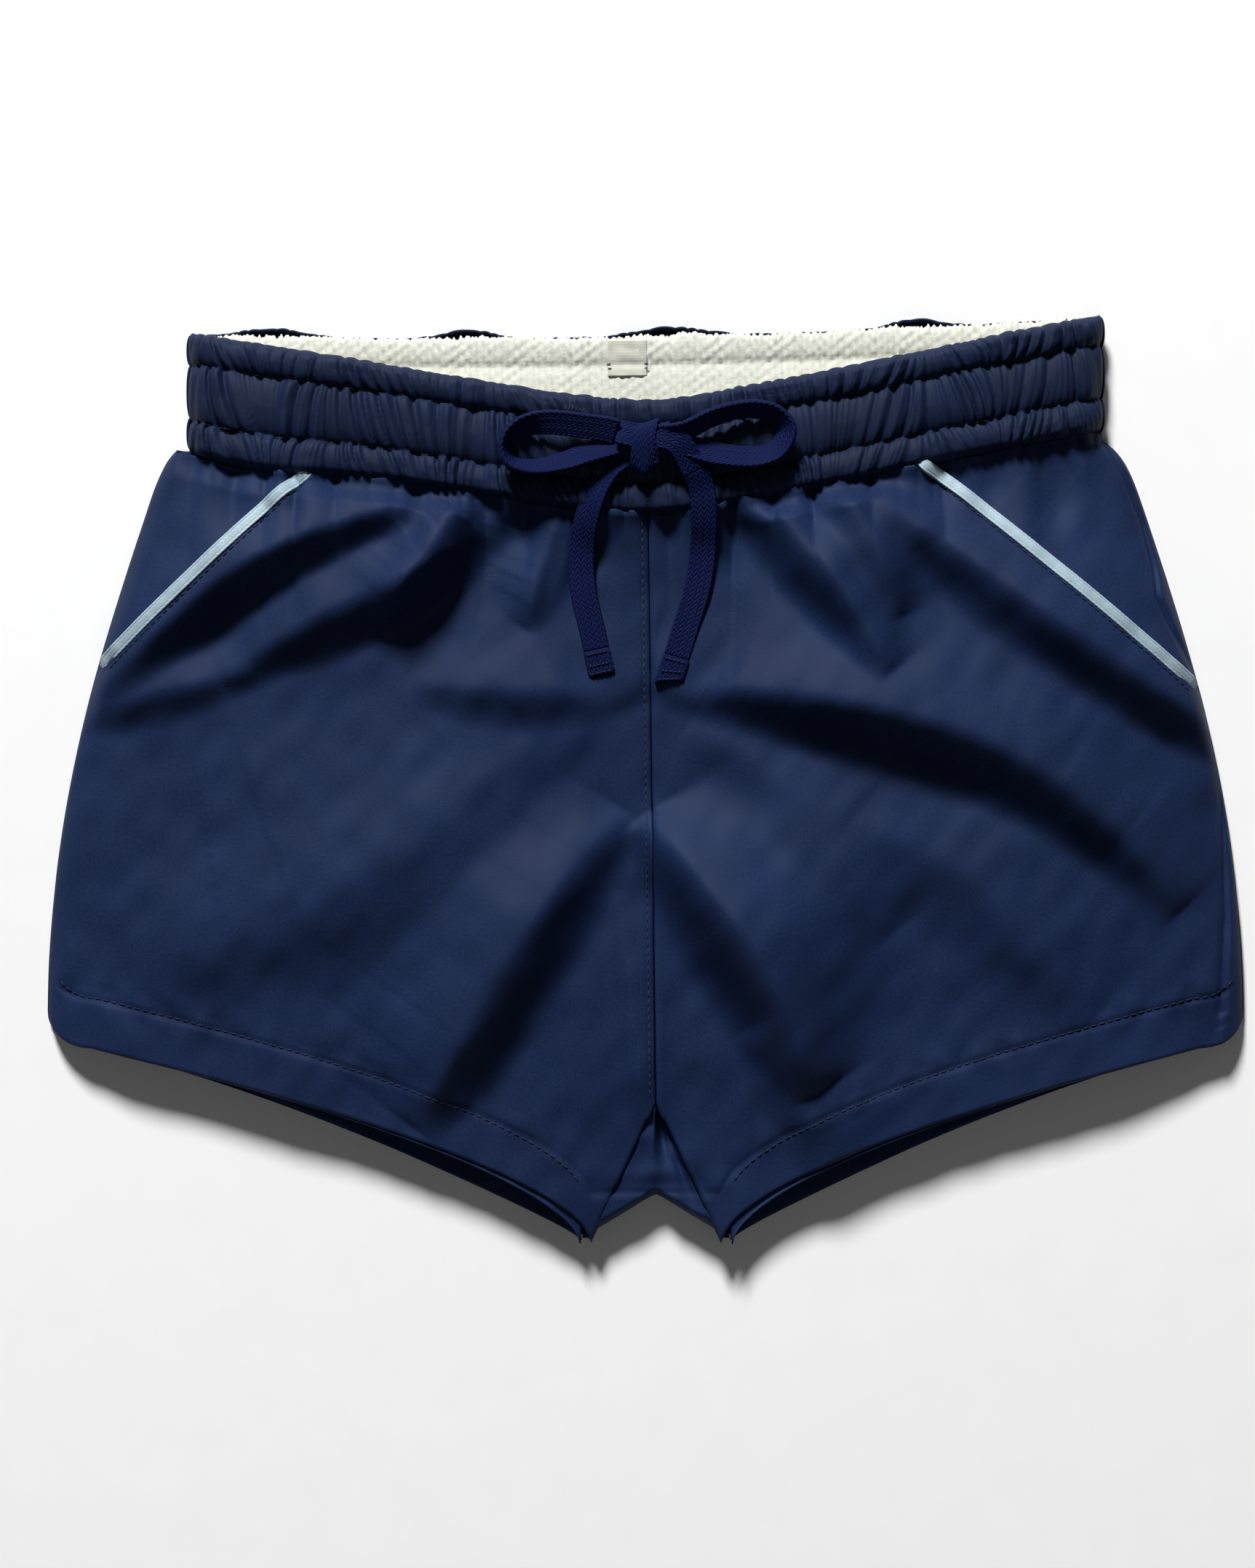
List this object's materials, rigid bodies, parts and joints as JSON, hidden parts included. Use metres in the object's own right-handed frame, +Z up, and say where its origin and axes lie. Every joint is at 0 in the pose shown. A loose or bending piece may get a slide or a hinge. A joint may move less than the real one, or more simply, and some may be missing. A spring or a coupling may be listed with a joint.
{
  "type": "sports shorts",
  "caption": "Short navy sports shorts, laid flat: gathered drawcord waistband tied in a bow, slant pockets with pale piping, turned-up leg hems.",
  "frame": {"origin": "centre of the footprint, on the surface the shorts lie on", "axes": "+X to the right as seen from above (the wearer's left), +Y towards the waistband, +Z up out of the front"},
  "size_m": [0.462, 0.358, 0.0323],
  "materials": {
    "body_cloth": "matt peached microfibre weave",
    "band_cloth": "matt microfibre, gathered",
    "elastic": "woven elastic",
    "terry_lining": "brushed terry",
    "label": "smooth woven tape, blank",
    "drawcord": "flat herringbone braid",
    "stitching": "polyester thread",
    "pocket_lining": "thin plain weave",
    "piping": "smooth pale blue-grey piping"
  },
  "bodies": {
    "hips": {"waist_casing_front": "band_cloth", "waist_casing_back": "band_cloth", "waist_elastic_front": "elastic", "waist_elastic_back": "elastic", "waist_lining_front": "terry_lining", "waist_lining_back": "terry_lining", "size_label": "label", "drawcord_in_channel": "drawcord", "buttonhole_left": "stitching", "buttonhole_right": "stitching", "bow_knot": "drawcord", "front_panel_left": "body_cloth", "front_panel_right": "body_cloth", "back_panel_left": "body_cloth", "back_panel_right": "body_cloth", "side_seam_left": "body_cloth", "side_seam_right": "body_cloth", "centre_front_seam": "body_cloth", "centre_back_seam": "body_cloth", "pocket_facing_left": "body_cloth", "pocket_facing_right": "body_cloth", "pocket_bag_front_left": "pocket_lining", "pocket_bag_front_right": "pocket_lining", "pocket_bag_back_left": "pocket_lining", "pocket_bag_back_right": "pocket_lining", "pocket_piping_left": "piping", "pocket_piping_right": "piping"},
    "legs": {"front_leg_left": "body_cloth", "front_leg_right": "body_cloth", "back_leg_left": "body_cloth", "back_leg_right": "body_cloth", "hem_front_left": "body_cloth", "hem_front_right": "body_cloth", "hem_back_left": "body_cloth", "hem_back_right": "body_cloth", "side_seam_leg_left": "body_cloth", "side_seam_leg_right": "body_cloth", "centre_front_seam_leg": "body_cloth", "centre_back_seam_leg": "body_cloth", "inseam_left": "body_cloth", "inseam_right": "body_cloth", "crotch_gusset": "body_cloth"},
    "loop_left": {"bow_loop_left": "drawcord"},
    "loop_right": {"bow_loop_right": "drawcord"},
    "tail_left": {"cord_tail_left": "drawcord", "cord_end_left": "drawcord"},
    "tail_right": {"cord_tail_right": "drawcord", "cord_end_right": "drawcord"}
  },
  "joints": [
    {"name": "legs_fold", "type": "hinge", "parent": "hips", "child": "legs", "pos_m": [0, -0.04, 0.0165], "axis": [-1, 0, 0], "range_deg": [0, 135]},
    {"name": "loop_left_lift", "type": "hinge", "parent": "hips", "child": "loop_left", "pos_m": [-0.0103, 0.13, 0.0313], "axis": [0, 1, 0], "range_deg": [0, 60]},
    {"name": "loop_right_lift", "type": "hinge", "parent": "hips", "child": "loop_right", "pos_m": [0.0143, 0.13, 0.0313], "axis": [0, -1, 0], "range_deg": [0, 60]},
    {"name": "tail_left_lift", "type": "hinge", "parent": "hips", "child": "tail_left", "pos_m": [-0.0026, 0.1182, 0.0256], "axis": [-1, 0, 0], "range_deg": [0, 60]},
    {"name": "tail_right_lift", "type": "hinge", "parent": "hips", "child": "tail_right", "pos_m": [0.0085, 0.1182, 0.0256], "axis": [-1, 0, 0], "range_deg": [0, 60]}
  ]
}
